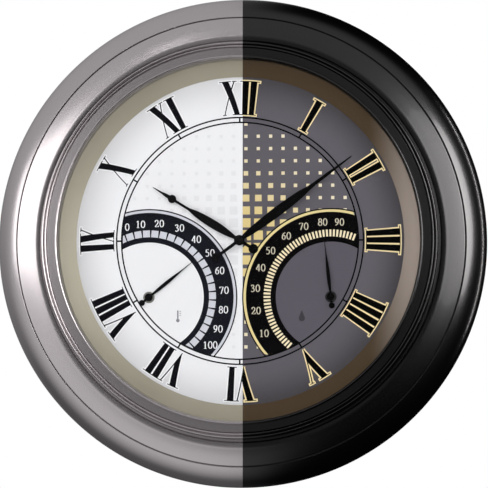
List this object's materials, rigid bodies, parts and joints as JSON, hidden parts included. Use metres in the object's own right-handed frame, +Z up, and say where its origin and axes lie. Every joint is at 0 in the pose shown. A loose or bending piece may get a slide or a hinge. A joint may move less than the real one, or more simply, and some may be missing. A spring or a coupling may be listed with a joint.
{
  "type": "outdoor wall clock",
  "caption": "Round outdoor wall clock with a moulded ogee case, a glazed edge-lit dial, a quartz movement, thermometer and hygrometer pointers, a battery bay and a keyhole hanger.",
  "frame": {"origin": "centre of the back plane, where the clock's axis meets the wall", "axes": "+Y out of the back into the wall, +Z up, the dial faces -Y"},
  "size_m": [0.4572, 0.06, 0.4572],
  "materials": {
    "case_finish": "moulded ABS with a satin pewter coat",
    "reflector_finish": "satin champagne coat",
    "lens_glass": "clear flat glass",
    "seal_rubber": "matte",
    "dial_sheet": "translucent white with printed numerals",
    "clear_acrylic": "clear, polished edge",
    "tray_white": "satin",
    "cover_black": "fine moulded texture",
    "movement_grey": "satin",
    "knob_white": "satin",
    "hand_black": "satin black on aluminium sheet",
    "zinc_steel": "zinc plated",
    "plain_brass": "bright",
    "copper_wire": "enamelled copper wire, and the copper side of a bimetal strip",
    "board_green": "solder mask",
    "cell_can": "bare can"
  },
  "bodies": {
    "case": {"case_ring": "case_finish", "bezel_ring": "case_finish", "lens": "lens_glass", "lens_gasket": "seal_rubber", "reflector_ring": "reflector_finish", "dial_plate": "dial_sheet", "light_guide": "clear_acrylic", "led_ring": "tray_white", "light_tray": "tray_white", "back_cover": "cover_black", "back_gasket": "seal_rubber", "back_screw_1": "zinc_steel", "back_screw_2": "zinc_steel", "back_screw_3": "zinc_steel", "back_screw_4": "zinc_steel", "back_screw_5": "zinc_steel", "back_screw_6": "zinc_steel", "hanger_plate": "zinc_steel", "hanger_screw_1": "zinc_steel", "hanger_screw_2": "zinc_steel", "movement_hatch": "cover_black", "hatch_screw_1": "zinc_steel", "hatch_screw_2": "zinc_steel", "movement_case": "movement_grey", "movement_cover": "movement_grey", "centre_bushing": "plain_brass", "rubber_washer": "seal_rubber", "dial_washer": "plain_brass", "hex_nut": "plain_brass", "movement_cell": "cell_can", "cell_contact_plus": "zinc_steel", "cell_contact_minus": "zinc_steel", "stator": "zinc_steel", "motor_coil": "copper_wire", "circuit_board": "board_green", "thermo_cup": "cover_black", "thermo_coil": "copper_wire", "hygro_cup": "cover_black", "hygro_coil": "plain_brass", "battery_tray": "cover_black", "lamp_cell_1": "cell_can", "lamp_cell_2": "cell_can", "lamp_cell_3": "cell_can", "lamp_cell_4": "cell_can", "contact_strip_top": "zinc_steel", "contact_strip_bottom": "zinc_steel", "door_pin": "zinc_steel", "switch_body": "movement_grey"},
    "minute_train": {"minute_hand": "hand_black", "minute_arbor": "zinc_steel", "hand_cap": "hand_black"},
    "hour_train": {"hour_hand": "hand_black", "hour_wheel": "plain_brass"},
    "setting_train": {"minute_wheel": "plain_brass", "set_knob": "knob_white"},
    "thermo_needle": {"thermo_pointer": "hand_black"},
    "hygro_needle": {"hygro_pointer": "hand_black"},
    "switch_slider": {"switch_knob": "knob_white"},
    "bay_door": {"battery_door": "cover_black"}
  },
  "joints": [
    {"name": "minute_hand_turn", "type": "hinge", "parent": "case", "child": "minute_train", "pos_m": [0, 0, 0], "axis": [0, 1, 0], "continuous": true},
    {"name": "hour_hand_turn", "type": "hinge", "parent": "case", "child": "hour_train", "pos_m": [0, 0, 0], "axis": [0, 1, 0], "continuous": true},
    {"name": "setting_turn", "type": "hinge", "parent": "case", "child": "setting_train", "pos_m": [0.00849, 0, 0.00849], "axis": [0, 1, 0], "continuous": true},
    {"name": "thermo_turn", "type": "hinge", "parent": "case", "child": "thermo_needle", "pos_m": [-0.08439, 0, -0.0524], "axis": [0, 1, 0], "range_deg": [-73, 78]},
    {"name": "hygro_turn", "type": "hinge", "parent": "case", "child": "hygro_needle", "pos_m": [0.08439, 0, -0.0524], "axis": [0, 1, 0], "range_deg": [-126, 29]},
    {"name": "switch_slide", "type": "slide", "parent": "case", "child": "switch_slider", "axis": [1, 0, 0], "range_m": [0, 0.006]},
    {"name": "door_swing", "type": "hinge", "parent": "case", "child": "bay_door", "pos_m": [0, -0.00355, -0.1062], "axis": [1, 0, 0], "range_deg": [0, 100]}
  ],
  "couplings": [
    {"joint": "hour_hand_turn", "follows": "minute_hand_turn", "ratio": 0.083333},
    {"joint": "setting_turn", "follows": "minute_hand_turn", "ratio": -0.33333}
  ]
}
